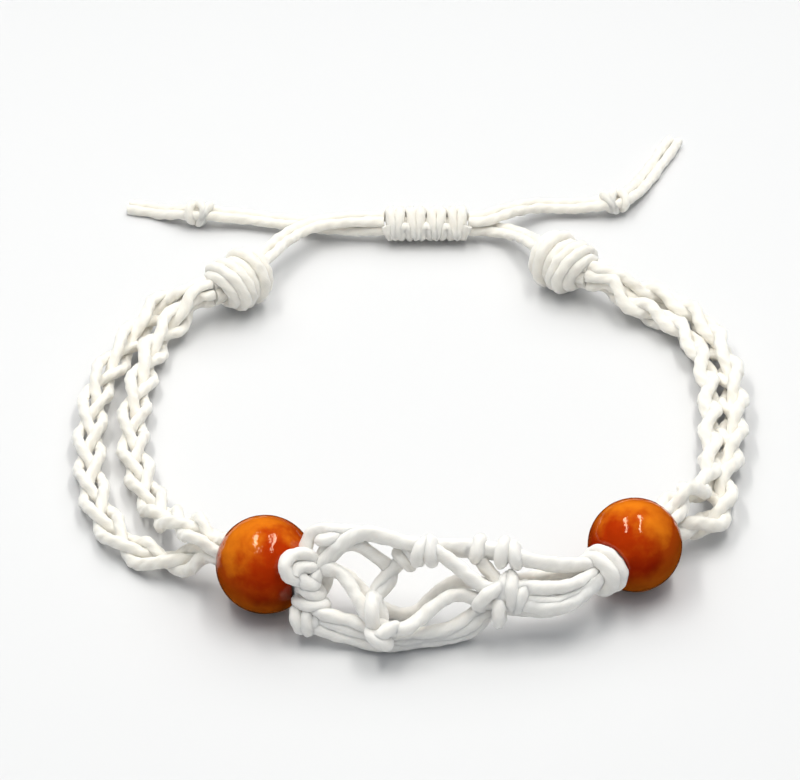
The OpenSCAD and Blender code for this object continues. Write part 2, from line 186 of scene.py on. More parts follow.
class Wire:
    """A socket in a node tree. Sums on wires add the tree's Math nodes, and node() adds any other."""

    def __init__(self, tree, socket=None):
        self.tree = tree
        self.socket = socket

    def node(self, kind, settings=None, inputs=None, out=0):
        """Adds a node of a kind: its settings first, then the values or wires of its sockets."""
        made = self.tree.nodes.new(kind)
        for name, value in (settings or {}).items():
            if name == "stops":
                while len(made.color_ramp.elements) < len(value):
                    made.color_ramp.elements.new(0.5)
                for stop, (place, colour) in zip(made.color_ramp.elements, value):
                    stop.position = place
                    stop.color = colour
            else:
                setattr(made, name, value)
        for name, value in (inputs or {}).items():
            if isinstance(value, Wire):
                self.tree.links.new(value.socket, made.inputs[name])
            else:
                made.inputs[name].default_value = value
        return Wire(self.tree, made.outputs[out])

    def math(self, operation, *values):
        return self.node("ShaderNodeMath", {"operation": operation}, dict(enumerate(values)))

    def vector_math(self, operation, first, *others):
        """Sums on vectors. SCALE takes its number on a socket of its own, and a dot product is a number."""
        inputs = {0: first}
        for other in others:
            inputs["Scale" if operation == "SCALE" else 1] = other
        return self.node("ShaderNodeVectorMath", {"operation": operation}, inputs,
                         "Value" if operation == "DOT_PRODUCT" else "Vector")

    def parts(self):
        """The three numbers of a vector."""
        split = self.node("ShaderNodeSeparateXYZ", None, {"Vector": self})
        return [Wire(self.tree, socket) for socket in split.socket.node.outputs]

    def ramp(self, low, high):
        """From 0 to 1, smoothly, as the wire goes from low to high."""
        return self.node("ShaderNodeMapRange", {"interpolation_type": "SMOOTHSTEP"},
                         {"Value": self, "From Min": low, "From Max": high})

    def __add__(self, other):
        return self.math("ADD", self, other)

    __radd__ = __add__

    def __sub__(self, other):
        return self.math("SUBTRACT", self, other)

    def __rsub__(self, other):
        return self.math("SUBTRACT", other, self)

    def __mul__(self, other):
        return self.math("MULTIPLY", self, other)

    __rmul__ = __mul__

    def __truediv__(self, other):
        return self.math("DIVIDE", self, other)

    def __rtruediv__(self, other):
        return self.math("DIVIDE", other, self)


def tree_with(name, inputs):
    """An empty geometry tree with a geometry output and these inputs; gives it and its inputs' wires."""
    tree = bpy.data.node_groups.new(name, "GeometryNodeTree")
    tree.interface.new_socket("Geometry", in_out="OUTPUT", socket_type="NodeSocketGeometry")
    for label, kind in {"Geometry": "Geometry", **inputs}.items():
        tree.interface.new_socket(label, in_out="INPUT", socket_type="NodeSocket" + kind)
    entry = tree.nodes.new("NodeGroupInput")
    return tree, {socket.name: Wire(tree, socket) for socket in entry.outputs if socket.name}


def attribute(wire, name, kind="FLOAT"):
    return wire.node("GeometryNodeInputNamedAttribute", {"data_type": kind}, {"Name": name})


def stored(geometry, name, value, kind="FLOAT"):
    return geometry.node("GeometryNodeStoreNamedAttribute", {"data_type": kind},
                         {"Geometry": geometry, "Name": name, "Value": value})


def closed(tree, geometry, material):
    """Ends a tree: real smooth mesh with its material."""
    smooth = geometry.node("GeometryNodeSetShadeSmooth", None, {"Geometry": geometry})
    real = smooth.node("GeometryNodeRealizeInstances", None, {"Geometry": smooth})
    covered = real.node("GeometryNodeSetMaterial", None, {"Geometry": real, "Material": material})
    tree.links.new(covered.socket, tree.nodes.new("NodeGroupOutput").inputs[0])


# Sweeps a flattened round section along every line. The flat side faces each line's "out" vector, and
# "swell" makes the cord thicker or thinner. "lay" keeps the place round the cord, as a cosine and a
# sine, and the millimetres along it, for the pattern of the plies.
cord_inputs = {"Width": "Float", "Thickness": "Float", "Sides": "Int", "Ring spacing": "Float",
               "Softness": "Float", "Ply depth": "Float", "Material": "Material"}
cord_tree, cord_in = tree_with("waxed_cord", cord_inputs)
wire = cord_in["Geometry"]
wire = wire.node("GeometryNodeMeshToCurve", None, {"Mesh": wire})
wire = wire.node("GeometryNodeResampleCurve", {"mode": "LENGTH"},
                 {"Curve": wire, "Length": cord_in["Ring spacing"]})
wire = wire.node("GeometryNodeSetCurveNormal", {"mode": "FREE"},
                 {"Curve": wire, "Normal": attribute(wire, "out", "FLOAT_VECTOR")})
wire = wire.node("GeometryNodeSetCurveRadius", None, {"Curve": wire, "Radius": attribute(wire, "swell")})
wire = stored(wire, "along", wire.node("GeometryNodeSplineParameter", None, None, "Length"))
round_angle = wire.node("GeometryNodeSplineParameter") * (2 * math.pi)
round_place = wire.node("ShaderNodeCombineXYZ", None, {
    "X": wire.math("COSINE", round_angle), "Y": wire.math("SINE", round_angle)})
ring_size = wire.node("ShaderNodeCombineXYZ", None, {
    "X": cord_in["Width"] / 2, "Y": cord_in["Thickness"] / 2, "Z": 1.0})
ring = wire.node("GeometryNodeCurvePrimitiveCircle", None, {"Resolution": cord_in["Sides"], "Radius": 1.0})
ring = stored(ring, "round", round_place, "FLOAT_VECTOR")
ring = ring.node("GeometryNodeTransform", None, {"Geometry": ring, "Scale": ring_size})
wire = wire.node("GeometryNodeCurveToMesh", None, {"Curve": wire, "Profile Curve": ring, "Fill Caps": True})
run_along = wire.node("ShaderNodeCombineXYZ", None, {"Z": attribute(wire, "along") * (1 / mm)})
wire = stored(wire, "lay", wire.vector_math("ADD", attribute(wire, "round", "FLOAT_VECTOR"), run_along),
              "FLOAT_VECTOR")

# The skin then goes in and out with soft dents, with fuzz that runs along the cord, and with the
# grooves between its plies, which are counted from about their mean to keep the cord's thickness.
fuzz_share = 0.55
groove_mean = 0.6
lay = attribute(wire, "lay", "FLOAT_VECTOR")
across, side, along = lay.parts()
dents = wire.node("ShaderNodeTexNoise", {"noise_dimensions": "3D"}, {
    "Vector": wire.node("GeometryNodeInputPosition"), "Scale": 750.0, "Detail": 1.0}) - 0.5
fuzz = wire.node("ShaderNodeTexNoise", {"noise_dimensions": "3D"}, {
    "Vector": wire.vector_math("MULTIPLY", lay, (2.2, 2.2, 0.9)), "Scale": 1.0, "Detail": 2.0}) - 0.5
lobes = wire.math("ARCTAN2", side, across) * (ply_count / 2) + along * (ply_count * math.pi / ply_pitch)
grooves = wire.math("ABSOLUTE", wire.math("SINE", lobes + math.pi / 4)) - groove_mean
skin = (dents + fuzz * fuzz_share) * (2 * cord_in["Softness"]) + grooves * cord_in["Ply depth"]
wire = wire.node("GeometryNodeSetPosition", None, {
    "Geometry": wire, "Offset": wire.vector_math("SCALE", wire.node("GeometryNodeInputNormal"), skin)})
closed(cord_tree, wire, cord_in["Material"])


def cord_piece(name, tree, lines, settings):
    """A plain mesh that a tree sweeps along lines. A line is its points in mm, whether it is a closed
    ring, and for each point the way of its flat side, its swell and its roll in degrees."""
    points, edges, outs, swells, rolls = [], [], [], [], []
    for line in lines:
        first, count = len(points), len(line["points"])
        points += [Vector(p[:3]) * mm for p in line["points"]]
        edges += [(first + i, first + i + 1) for i in range(count - 1)]
        if line.get("ring"):
            edges.append((first + count - 1, first))
        outs += [Vector(v) for v in line.get("out", [(0, 0, 1)] * count)]
        swells += list(line.get("swell", [1.0] * count))
        rolls += list(line.get("roll", [0.0] * count))
    mesh = bpy.data.meshes.new(name + "_lines")
    mesh.from_pydata(points, edges, [])
    mesh.attributes.new("out", "FLOAT_VECTOR", "POINT").data.foreach_set(
        "vector", [x for v in outs for x in v])
    mesh.attributes.new("swell", "FLOAT", "POINT").data.foreach_set("value", swells)
    mesh.attributes.new("roll", "FLOAT", "POINT").data.foreach_set("value", rolls)
    source = bpy.data.objects.new(name + "_lines", mesh)
    bpy.context.scene.collection.objects.link(source)
    modifier = source.modifiers.new("cord", "NODES")
    modifier.node_group = tree
    sockets = {s.name: s.identifier for s in tree.interface.items_tree if s.in_out == "INPUT"}
    for label, value in settings.items():
        modifier[sockets[label]] = value
    seen = source.evaluated_get(bpy.context.evaluated_depsgraph_get())
    made = bpy.data.meshes.new_from_object(seen)
    for extra in [a.name for a in made.attributes if a.name in ("out", "swell", "roll", "along", "round")]:
        made.attributes.remove(made.attributes[extra])
    bpy.data.objects.remove(source)
    made.name = name
    piece = bpy.data.objects.new(name, made)
    bpy.context.scene.collection.objects.link(piece)
    return piece


def feed(shader, socket, wire):
    """Leads a wire into a socket of a material's shader."""
    wire.tree.links.new(wire.socket, shader.inputs[socket])


def waxed_cotton(name, colour, ply_height):
    """Off-white waxed cotton: soft plies, fine fibres that wind along with them, and a little wax, with
    painted shade in the grooves between the plies.
    """
    made, shader = surface(name, Specular_IOR_Level=0.35, Sheen_Weight=0.7, Sheen_Roughness=0.5,
                           Subsurface_Weight=0.5, Subsurface_Scale=0.5 * mm,
                           Subsurface_Radius=(1.0, 0.95, 0.9))
    base = Wire(made.node_tree)
    lay = base.node("ShaderNodeAttribute", {"attribute_name": "lay"}, None, "Vector")
    across, side, along = lay.parts()
    turned = base.math("ARCTAN2", side, across) + along * (2 * math.pi / ply_pitch)
    plies = base.math("SINE", turned * ply_count) * 0.5 + 0.5
    # Fibres are streaks, because the pattern changes fast round the cord and slowly along it.
    fibre_place = base.node("ShaderNodeCombineXYZ", None, {
        "X": base.math("COSINE", turned) * 4.5, "Y": base.math("SINE", turned) * 4.5, "Z": along * 0.8})
    fibres = base.node("ShaderNodeTexNoise", None, {"Vector": fibre_place, "Scale": 1.6, "Detail": 3.0})
    here = base.node("ShaderNodeTexCoord", None, None, "Object")
    wax = base.node("ShaderNodeTexNoise", None, {"Vector": here, "Scale": 420.0, "Detail": 2.0})
    # Fibres and wax vary the cotton's own tone. The plies add painted shade, darker in the grooves between
    # the plies.
    tone_and_groove_shade = fibres * 0.55 + plies * 0.08 + wax * 0.5
    dimmed = tuple(c * 0.86 for c in colour)
    tint = base.node("ShaderNodeValToRGB", {"stops": [(0.25, (*dimmed, 1.0)), (0.75, (*colour, 1.0))]},
                     {"Fac": tone_and_groove_shade})
    feed(shader, "Base Color", tint)
    feed(shader, "Roughness", wax * 0.3 + 0.42)
    bump = base.node("ShaderNodeBump", None, {
        "Height": plies * ply_height + fibres * 0.35, "Distance": 0.12 * mm, "Strength": 0.65})
    feed(shader, "Normal", bump)
    return made


plain_cotton = waxed_cotton("waxed_cotton_plain", cotton_colour, 0.15)
knot_cotton = waxed_cotton("waxed_cotton_knots", cotton_colour, 0.12)


def cord_settings(width, thickness, material, sides=16, spacing=0.22, ply_depth=0.05):
    """The inputs of the cord's tree, from sizes in mm."""
    return {"Width": width * mm, "Thickness": thickness * mm, "Sides": sides,
            "Softness": cord_softness * mm, "Ply depth": ply_depth * mm, "Ring spacing": spacing * mm,
            "Material": material}


def dressed(piece, slot, *nodes):
    """Hangs a piece on the root body and hides the part's nodes whose place it takes. The slot is not used.
    """
    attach(piece, "root")
    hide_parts(*nodes)


def turn(at, way, radius, lean=(0, 0, 0), steps=28, swell=1.0, squeeze=1.0):
    """A closed turn of cord round a way, its flat side outwards; squeeze makes it oval."""
    way = (Vector(way).normalized() + Vector(lean)).normalized()
    a = way.cross(upwards if abs(way.z) < 0.8 else Vector((0, 1, 0))).normalized()
    b = way.cross(a)
    points, outs = [], []
    for k in range(steps):
        angle = 2 * math.pi * k / steps
        out = math.cos(angle) * a + squeeze * math.sin(angle) * b
        points.append(Vector(at) + radius * out)
        outs.append(out.normalized())
    return {"points": points, "out": outs, "ring": True, "swell": [swell] * steps}


for tail, (route, knot_at, knot_way) in tails.items():
    end_knot = cord_piece(tail.replace("tail", "overhand_knot"), cord_tree, [
        turn(Vector(knot_at) + far * Vector(knot_way), knot_way, radius, lean, squeeze=overhand_squeeze)
        for far, radius, lean in overhand_turns], cord_settings(*overhand_cord, knot_cotton))
    dressed(end_knot, "knots", tail.replace("tail", "end_knot"))
    for number, side in enumerate((1, -1)):
        line = beside(route, side)
        cord = cord_piece(f"{tail}_cord_{number + 1}", cord_tree, [{"points": line}],
                          cord_settings(cord_thick, cord_thick, plain_cotton))
        dressed(cord, "plain_cord", f"{tail}_{number + 1}")
        path = [p * mm for p in line]
        sum((b - a).length for a, b in zip(path, path[1:]))

# Sliding knot. A row of square knots, tied with another piece of the same waxed cotton round the four
# cords that cross behind. It grips them, so that pulling the free ends closes the bracelet.
slide_from, slide_to = -3.5, 6.4
slide_y, slide_z = 39.7, 2.3
slide_wide, slide_high = 1.75, 1.6
# How far the working cords dip at the sides, how round they go over, and how they bunch up in knots.
slide_dip, slide_round, slide_bunch = 0.75, 0.8, 0.8
half_knots = 8
slide_pitch = (slide_to - slide_from) / half_knots
core_off, core_short = 0.55, 0.1
square_knot_cord = (1.25, 1.1)


def working_cord(side, steps=14):
    """One of the two cords that tie the square knots: side 1 always passes over, side -1 under."""
    points, outs = [], []
    for i in range(half_knots * steps + 1):
        t = i / steps
        edge = abs(math.cos(math.pi * t)) ** 2
        run = t + slide_bunch * math.sin(2 * math.pi * t) / (2 * math.pi)
        y = side * slide_wide * math.cos(math.pi * t)
        z = side * (slide_high * abs(math.sin(math.pi * t)) ** slide_round - slide_dip * edge)
        points.append((slide_from + slide_pitch * run, slide_y + y, slide_z + z))
        outs.append((0, y / slide_wide, z / slide_high))
    return {"points": points, "out": outs}


core = [{"points": [(slide_from + core_short, slide_y + a, slide_z + b),
                    (slide_to - core_short, slide_y + a, slide_z + b)]}
        for a in (-core_off, core_off) for b in (-core_off, core_off)]
sliding = cord_piece("square_knots", cord_tree, [working_cord(1), working_cord(-1)] + core,
                     cord_settings(*square_knot_cord, knot_cotton))
dressed(sliding, "knots", "sliding_knot")

# Straps. Two plain cords of the same waxed cotton come out of each gathering knot and run through the
# sliding knot, where the pairs of the two sides cross and go on as the free ends.
left_strap_route = [
    (-18.6, 28.7, 3.8), (-17.4, 31.0, 3.7), (-16.0, 33.8, 3.5), (-14.2, 36.5, 3.2),
    (-11.6, 38.6, 3.0), (-8.0, 39.6, 2.92), (-3.65, 39.7, 2.92)]
right_strap_route = [
    (15.3, 32.1, 3.8), (14.3, 33.5, 3.7), (13.2, 36.0, 2.9), (11.6, 38.2, 2.0),
    (9.4, 39.5, 1.66), (7.6, 39.7, 1.68), (6.55, 39.7, 1.68)]
for strap, route in {"left_strap": left_strap_route, "right_strap": right_strap_route}.items():
    for number, side in enumerate((1, -1)):
        cord = cord_piece(f"{strap}_cord_{number + 1}", cord_tree, [{"points": beside(route, side)}],
                          cord_settings(cord_thick, cord_thick, plain_cotton))
        dressed(cord, "plain_cord", f"{strap}_{number + 1}")

# Gathering knots. Behind the braids all the cords of a side are held together by one fat knot, wound
# of the same waxed cotton. The six strands go in at its front and the two straps come out behind.
gathering_cord = (1.5, 1.35)
# The knot's turns: how far along it, how far out, and how they tilt.
wraps = [(-2.6, 2.0, 0.35), (-1.7, 2.8, 0.3), (-0.65, 2.75, 0.22), (0.4, 2.3, 0.12), (1.45, 2.85, 0.02),
         (2.5, 2.35, -0.06)]
collar_at, collar_radius, collar_tilt = 2.95, 1.15, 0.12
# How far from the knot's middle its cords reach out, and how deep their ends lie inside.
knot_reach = 3.75
strands_in, straps_in = 1.0, 0.5
strands_off = 1.2


def heading(degrees, hand=1):
    """A way along the surface and to the back, that many degrees off straight across; hand -1 goes left."""
    return (hand * math.cos(math.radians(degrees)), math.sin(math.radians(degrees)), 0)


# Each knot's middle, the way the braids come in, and the way the straps go out.
gathering = {"left_gathering": ((-20.6, 25.2, 3.8), heading(32), heading(60)),
             "right_gathering": ((17.6, 28.8, 3.8), heading(35, -1), heading(55, -1))}
for name, (at, way_in, way_out) in gathering.items():
    at, way_in, way_out = Vector(at), Vector(way_in), Vector(way_out)
    mean = (way_in + way_out).normalized()
    lines = [turn(at + mean * far, mean, radius, (0, 0, tilt), 36) for far, radius, tilt in wraps]
    for k in range(6):
        angle = math.radians(60 * k)
        off = strands_off * (math.cos(angle) * way_in.cross(upwards) + math.sin(angle) * upwards)
        lines.append({"points": [at - knot_reach * way_in + off, at - strands_in * way_in + off]})
    for k in (-1, 1):
        off = k * cord_layer * way_out.cross(upwards)
        lines.append({"points": [at + straps_in * way_out + off, at + knot_reach * way_out + off]})
    lines.append(turn(at + collar_at * way_out, way_out, collar_radius, (0, 0, collar_tilt)))
    knot = cord_piece(name + "_turns", cord_tree, lines, cord_settings(*gathering_cord, knot_cotton))
    dressed(knot, "knots", name + "_knot")

# Braids. Two on each side, each woven flat of three strands of the same waxed cotton. The six strands
# of a side pass through the bead in a bundle, part into the two braids and end in the gathering knot.
strand_width, strand_thick = 1.5, 1.2
braid_pitch = 17.0
braid_swing, braid_lift = 1.3, 0.62
gather_len = 2.6
bundle_radius = 1.25
bundle_swell = 0.75
outer_places, inner_places = (210, 270, 330), (150, 90, 30)
# How far a strand stands out of the bead on the net's side, where its braid's route goes on at the
# other side, and how long it stays in the bundle there, then the same two at the gathering knot.
stub, past_bead, bead_clear = 0.15, 0.6, 0.5
knot_face, knot_clear = 3.9, 1.0
# Each bead's middle, its diameter, and the way its bore runs to the braids.
beads = {"left": ((-15.7, -29.2, 5.15), 10.3, heading(28, -1)),
         "right": ((22.9, -25.7, 4.95), 9.9, heading(50))}
# Places of each braid's middle, and the degrees that it is rolled there.
braid_routes = {
    "left_outer": [
        (-22.6, -25.8, 3.4, 0), (-25.8, -24.6, 1.9, 0), (-29.8, -22.4, 1.6, 0), (-33.0, -18.0, 1.6, 0),
        (-35.0, -12.0, 1.6, 0), (-35.9, -5.5, 1.6, 0), (-36.1, 1.0, 1.7, -10), (-35.6, 7.0, 2.0, -30),
        (-33.6, 12.8, 2.15, -50), (-31.6, 18.0, 2.2, -70), (-29.0, 21.7, 2.8, -80)],
    "left_inner": [
        (-22.8, -24.8, 6.2, 0), (-25.4, -21.2, 4.4, 0), (-27.6, -16.6, 2.3, 0), (-29.6, -11.0, 1.7, 0),
        (-31.0, -5.0, 1.6, 0), (-31.4, 1.0, 1.85, -20), (-31.0, 7.0, 2.1, -40), (-30.2, 12.4, 2.15, -60),
        (-29.0, 16.6, 2.2, -70), (-27.3, 19.2, 2.8, -80)],
    "right_outer": [
        (28.0, -20.7, 3.4, 20), (31.0, -19.0, 2.3, 35), (33.0, -15.7, 2.2, 35), (33.0, -12.3, 2.1, 40),
        (33.9, -8.5, 2.1, 42), (34.8, -4.5, 2.1, 42), (35.4, 0.1, 2.1, 42), (35.7, 4.9, 2.1, 46),
        (35.6, 9.7, 2.1, 66), (34.9, 14.2, 2.1, 98), (33.8, 18.0, 2.1, 120), (31.9, 21.3, 2.1, 128),
        (29.4, 23.8, 2.1, 128), (26.8, 25.2, 2.4, 128)],
    "right_inner": [
        (28.1, -18.6, 6.0, 20), (30.1, -15.4, 4.2, 40), (31.9, -10.7, 2.4, 75), (32.4, -6.5, 2.1, 88),
        (32.7, -1.7, 2.1, 90), (33.0, 3.0, 2.1, 92), (33.1, 7.2, 2.1, 100), (32.7, 11.6, 2.1, 112),
        (31.7, 15.4, 2.1, 122), (30.1, 18.4, 2.1, 128), (27.9, 20.7, 2.1, 128), (25.3, 22.2, 2.4, 128)]}

# Moves a line off the braid's middle, in a bundle at both ends and as its strand is woven between,
# then sweeps the cord along it.
braid_inputs = {"Strand": "Float", "Thirds": "Float", "Swing": "Float", "Lift": "Float",
                "Weave start": "Float", "Weave end": "Float", "Gather start": "Float",
                "Gather end": "Float", "Gather length": "Float", "Bundle radius": "Float",
                "Start place": "Float", "End place": "Float", "Bundle swell": "Float", **cord_inputs}
braid_tree, braid_in = tree_with("braid_strand", braid_inputs)
wire = braid_in["Geometry"]
wire = wire.node("GeometryNodeMeshToCurve", None, {"Mesh": wire})
wire = wire.node("GeometryNodeResampleCurve", {"mode": "LENGTH"},
                 {"Curve": wire, "Length": braid_in["Ring spacing"]})
way = wire.node("GeometryNodeInputTangent")
flat = wire.vector_math("NORMALIZE", wire.vector_math("CROSS_PRODUCT", way, (0, 0, 1)))
up = wire.vector_math("CROSS_PRODUCT", flat, way)
roll = attribute(wire, "roll") * (math.pi / 180)
cos_roll, sin_roll = wire.math("COSINE", roll), wire.math("SINE", roll)


def mixed(first, share, second, other_share):
    """One vector times its share plus another times its own."""
    return first.vector_math("ADD", first.vector_math("SCALE", first, share),
                             first.vector_math("SCALE", second, other_share))


swing_way = mixed(flat, cos_roll, up, sin_roll)
lift_way = mixed(up, cos_roll, flat, 0 - sin_roll)
done = wire.node("GeometryNodeSplineParameter", None, None, "Length")
whole = wire.node("GeometryNodeSplineLength")
woven_share = wire.math("MINIMUM", (done - braid_in["Gather start"]) / braid_in["Gather length"],
                        (braid_in["Gather end"] - done) / braid_in["Gather length"]).ramp(0.0, 1.0)
turned = (done - braid_in["Weave start"]) / (braid_in["Weave end"] - braid_in["Weave start"])
turned = wire.math("MINIMUM", wire.math("MAXIMUM", turned, 0.0), 1.0)
phase = (braid_in["Thirds"] * turned - 1 + braid_in["Strand"]) * (2 * math.pi / 3)
at_end = wire.math("GREATER_THAN", done, whole / 2)
place = braid_in["Start place"] + (braid_in["End place"] - braid_in["Start place"]) * at_end
place = place * (math.pi / 180)
bundle = mixed(swing_way, wire.math("COSINE", place) * braid_in["Bundle radius"],
               lift_way, wire.math("SINE", place) * braid_in["Bundle radius"])
weave = mixed(swing_way, wire.math("SINE", phase) * braid_in["Swing"],
              lift_way, wire.math("SINE", phase * 2) * braid_in["Lift"])
wire = stored(wire, "out", lift_way, "FLOAT_VECTOR")
wire = stored(wire, "swell", braid_in["Bundle swell"] + (1 - braid_in["Bundle swell"]) * woven_share)
wire = wire.node("GeometryNodeSetPosition", None, {
    "Geometry": wire, "Offset": mixed(bundle, 1 - woven_share, weave, woven_share)})
line_again = wire.node("GeometryNodeCurveToMesh", None, {"Curve": wire})
sweep = line_again.node("GeometryNodeGroup", {"node_tree": cord_tree},
                        {"Geometry": line_again, **{label: braid_in[label] for label in cord_inputs}})
closed(braid_tree, sweep, braid_in["Material"])

braid_cotton = waxed_cotton("waxed_cotton_braid", (0.93, 0.892, 0.81), 0.2)
for braid, route in braid_routes.items():
    hand, place = braid.split("_")
    bead_at, bead_d, bore_way = beads[hand]
    knot_at, knot_in, _ = gathering[hand + "_gathering"]
    from_bead = [tuple(b + far * w for b, w in zip(bead_at, bore_way)) + (0,)
                 for far in (-bead_d / 2 - stub, -2.5, 0, 2.5, bead_d / 2 + past_bead)]
    to_knot = [tuple(k - far * w for k, w in zip(knot_at, knot_in)) + (route[-1][3],)
               for far in (knot_face + 2, knot_face)]
    middle = even(spline(from_bead + route + to_knot))
    total = sum((Vector(b[:3]) - Vector(a[:3])).length for a, b in zip(middle, middle[1:]))
    gather_start, gather_end = bead_d + bead_clear, total - knot_clear
    weave_start = gather_start + 0.6 * gather_len
    weave_end = gather_end - 0.9 * gather_len
    thirds = round(3 * (weave_end - weave_start) / braid_pitch)
    places = outer_places if place == "outer" else inner_places
    for k in range(3):
        strand = cord_piece(f"{braid}_woven_{k + 1}", braid_tree, [
            {"points": middle, "roll": [row[3] for row in middle]}], {
                "Strand": float(k), "Thirds": float(thirds), "Swing": braid_swing * mm,
                "Lift": braid_lift * mm, "Weave start": weave_start * mm, "Weave end": weave_end * mm,
                "Gather start": gather_start * mm, "Gather end": gather_end * mm,
                "Gather length": gather_len * mm, "Bundle radius": bundle_radius * mm,
                "Start place": float(places[k]), "End place": float(places[(k + thirds) % 3]),
                "Bundle swell": bundle_swell,
                **cord_settings(strand_width, strand_thick, braid_cotton, sides=18, ply_depth=0.09)})
        dressed(strand, "braid_cord", f"{braid}_strand_{k + 1}")

# Beads. Round wooden beads, turned and drilled through, stained orange to red-brown and lacquered.
# They are threaded on the six strands, one at each end of the net.
bore = 4.1
bore_edge, edge_depth, edge_steps = 0.45, 0.25, 5
# Each stain's colours, from the dark end to the light end. The bead's underside gets the dark end as
# painted shade, and its top gets the light end as painted light.
orange_stain_painted_light = [(0.0, (0.36, 0.085, 0.006, 1)), (0.35, (0.33, 0.055, 0.003, 1)),
                (0.7, (0.39, 0.052, 0.003, 1)), (1.0, (0.72, 0.185, 0.008, 1))]
red_stain_painted_light = [(0.0, (0.16, 0.022, 0.002, 1)), (0.5, (0.25, 0.012, 0.001, 1)),
             (1.0, (0.46, 0.035, 0.002, 1))]
# Faces turned this way get the light end of each stain and faces turned away get the dark end: painted
# light and shade.
light_way = (-0.15, -0.35, 0.92)
# The way to each bead's redder side, its seed, and how fine and how strong its lacquer's dimples are.
stains = {"left": ((0.4, -0.8, 0.42), 2.0, 1100.0, 0.9), "right": ((-0.45, -0.78, 0.45), 7.0, 900.0, 0.65)}


def turned_bead(name, at, diameter, bore_way, rings=56, steps=96):
    """A bead as a lathe turns it: outside, eased edge, bore and eased edge again."""
    radius = diameter / 2
    hole = bore / 2
    rim = math.asin((hole + bore_edge) / radius)
    outline = [(-radius * math.cos(a), radius * math.sin(a))
               for a in (rim + (math.pi - 2 * rim) * i / rings for i in range(rings + 1))]
    face = radius * math.cos(rim) - edge_depth
    for end in (1, -1):
        outline += [(end * (face + edge_depth * math.cos(a)), hole + bore_edge * (1 - math.sin(a)))
                    for a in (math.pi / 2 * i / edge_steps for i in range(1, edge_steps + 1))][::end]
    way = Vector(bore_way)
    side = way.cross(upwards)
    verts, faces = [], []
    for k in range(steps):
        angle = 2 * math.pi * k / steps
        out = math.cos(angle) * side + math.sin(angle) * upwards
        verts += [(Vector(at) + x * way + r * out) * mm for x, r in outline]
    count = len(outline)
    for k in range(steps):
        for i in range(count):
            a, b = k * count + i, k * count + (i + 1) % count
            c, d = (k + 1) % steps * count + (i + 1) % count, (k + 1) % steps * count + i
            faces.append((a, b, c, d))
    mesh = bpy.data.meshes.new(name)
    mesh.from_pydata(verts, [], faces)
    mesh.polygons.foreach_set("use_smooth", [True] * len(faces))
    piece = bpy.data.objects.new(name, mesh)
    bpy.context.scene.collection.objects.link(piece)
    return piece


def stained_wood_painted_light(name, at, red_way, seed, dimple_scale, dimple_strength):
    """Orange stain, redder where it pooled on the side that red_way points to, with painted shade below
    and painted light on top, under a clear lacquer with fine dimples."""
    made, shader = surface(name, Specular_IOR_Level=0.5, Specular_Tint=(1.0, 0.9, 0.7, 1.0))
    base = Wire(made.node_tree)
    here = base.node("ShaderNodeTexCoord", None, None, "Object")
    centred = base.vector_math("SUBTRACT", here, tuple(c * mm for c in at))
    outward_way = base.vector_math("NORMALIZE", centred)
    patch = base.node("ShaderNodeTexNoise", {"noise_dimensions": "4D"},
                      {"Vector": centred, "W": seed, "Scale": 420.0, "Detail": 3.0})
    along_grain = base.vector_math("MULTIPLY", centred, (0.35, 1.0, 1.0))
    grain = base.node("ShaderNodeTexNoise", {"noise_dimensions": "4D"},
                      {"Vector": along_grain, "W": seed, "Scale": 1100.0, "Detail": 3.0})
    # Patches and grain break up the edge of the red, and the painted shade below and painted light above.
    facing = base.vector_math("DOT_PRODUCT", outward_way, tuple(Vector(red_way).normalized()))
    redness = (facing - (patch - 0.5) * 1.4).ramp(0.3, 0.95)
    height = base.vector_math("DOT_PRODUCT", outward_way, light_way)
    tone = (height + (patch - 0.5) * 0.6 + (grain - 0.5) * 0.3).ramp(-0.3, 1.05)
    orange = base.node("ShaderNodeValToRGB", {"stops": orange_stain_painted_light}, {"Fac": tone})
    red = base.node("ShaderNodeValToRGB", {"stops": red_stain_painted_light}, {"Fac": tone})
    # On this node inputs 6 and 7 and output 2 are the colours.
    colour = base.node("ShaderNodeMix", {"data_type": "RGBA"}, {"Factor": redness, 6: orange, 7: red}, 2)
    feed(shader, "Base Color", colour)
    dimples = base.node("ShaderNodeTexNoise", {"noise_dimensions": "4D"},
                        {"Vector": centred, "W": seed + 3, "Scale": dimple_scale, "Detail": 2.5})
    bump = base.node("ShaderNodeBump", None, {
        "Height": dimples + patch * 0.6, "Distance": 0.12 * mm, "Strength": dimple_strength})
    feed(shader, "Normal", bump)
    feed(shader, "Roughness", grain * 0.08 + 0.03)
    return made


for hand, (at, diameter, bore_way) in beads.items():
    bead = turned_bead(hand + "_wooden_bead", at, diameter, bore_way)
    bead.data.materials.append(stained_wood_painted_light(hand + "_stained_wood", at, *stains[hand]))
    dressed(bead, "wood", hand + "_bead")

# Net. Long runs of the same waxed cotton, knotted into an open cage for a loose stone. It is empty and
# has sunk on itself, and a few turns tie it off at each bead.
net_cord = (1.85, 1.45)
net_middle = Vector((3.0, -29.0, -4.0))
net_spread = Vector((0.25, 1, 1))
loop_swell = 1.08
